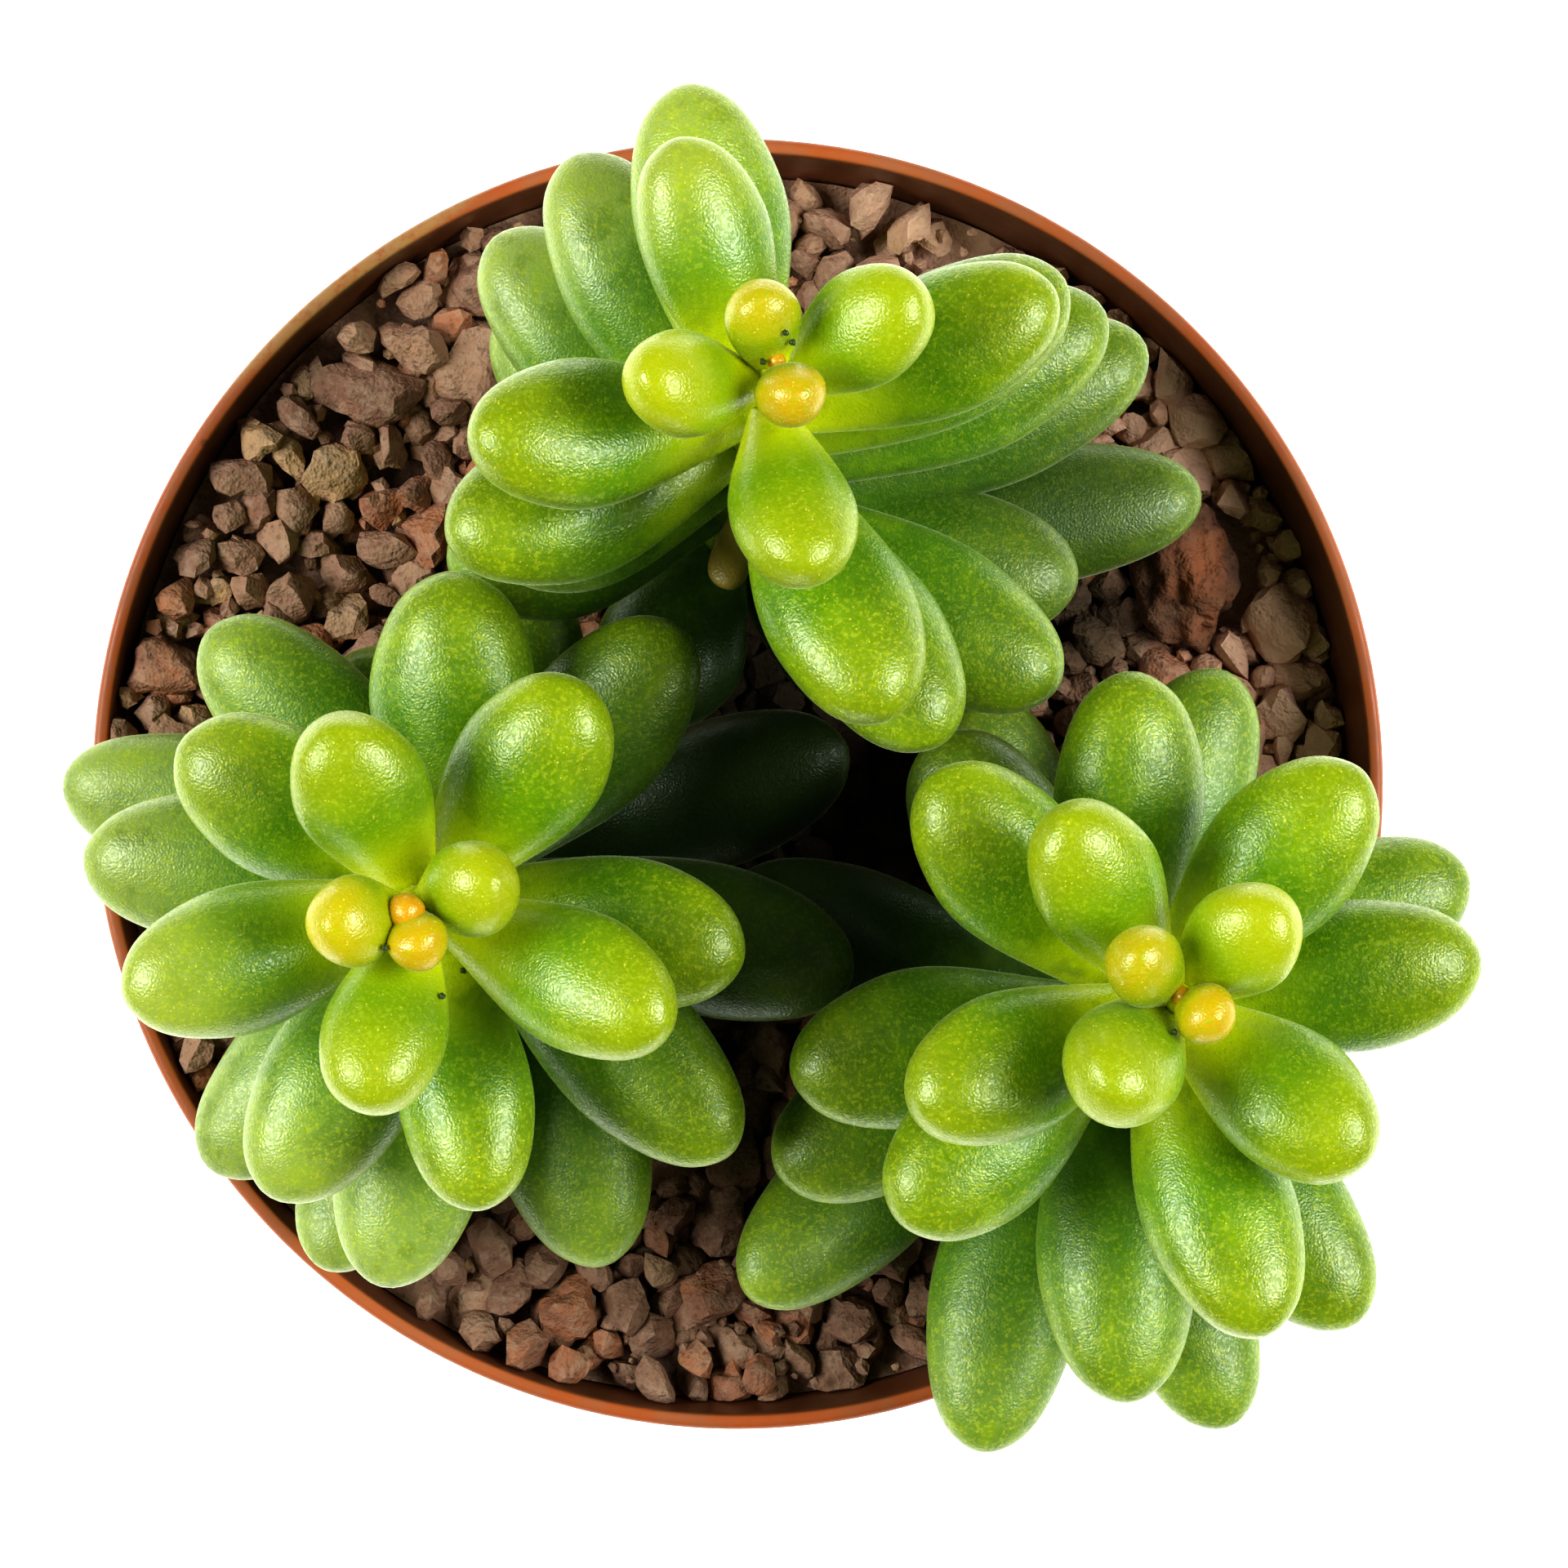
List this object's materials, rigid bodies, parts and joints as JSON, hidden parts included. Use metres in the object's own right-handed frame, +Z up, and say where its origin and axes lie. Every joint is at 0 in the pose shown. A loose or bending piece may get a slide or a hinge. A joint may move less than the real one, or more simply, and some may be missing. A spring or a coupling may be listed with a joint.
{
  "type": "potted sedum hernandezii",
  "caption": "Leafy stems of a bean-leaved stonecrop in a round plastic nursery pot, on lava grit over potting mix; a free-standing potted plant.",
  "frame": {"origin": "centre of the pot's flat underside, on the surface that it stands on", "axes": "+Z up along the pot's axis; +X to the right and +Y to the top of the picture, which looks straight down"},
  "size_m": [0.0731, 0.07, 0.1039],
  "materials": {
    "pot_plastic": "satin moulded terracotta-coloured plastic",
    "potting_mix": "dark crumbly peat and bark",
    "lava": "rough mauve-brown lava grit with a few khaki pumice grains",
    "red_lava": "rough reddish lava",
    "bark": "dry tan bark with leaf scars",
    "leaf": "satin green skin with a fine grained sparkle",
    "young_leaf": "satin yellow-green skin with orange tips"
  },
  "bodies": {
    "root": {"pot": "pot_plastic", "potting_mix": "potting_mix", "lava_grit": "lava", "lava_pebble": "red_lava", "left_woody_stem": "bark", "left_leafy_stem": "leaf", "left_crown": "young_leaf", "right_woody_stem": "bark", "right_leafy_stem": "leaf", "right_crown": "young_leaf", "top_woody_stem": "bark", "top_leafy_stem": "leaf", "top_crown": "young_leaf"}
  },
  "joints": []
}
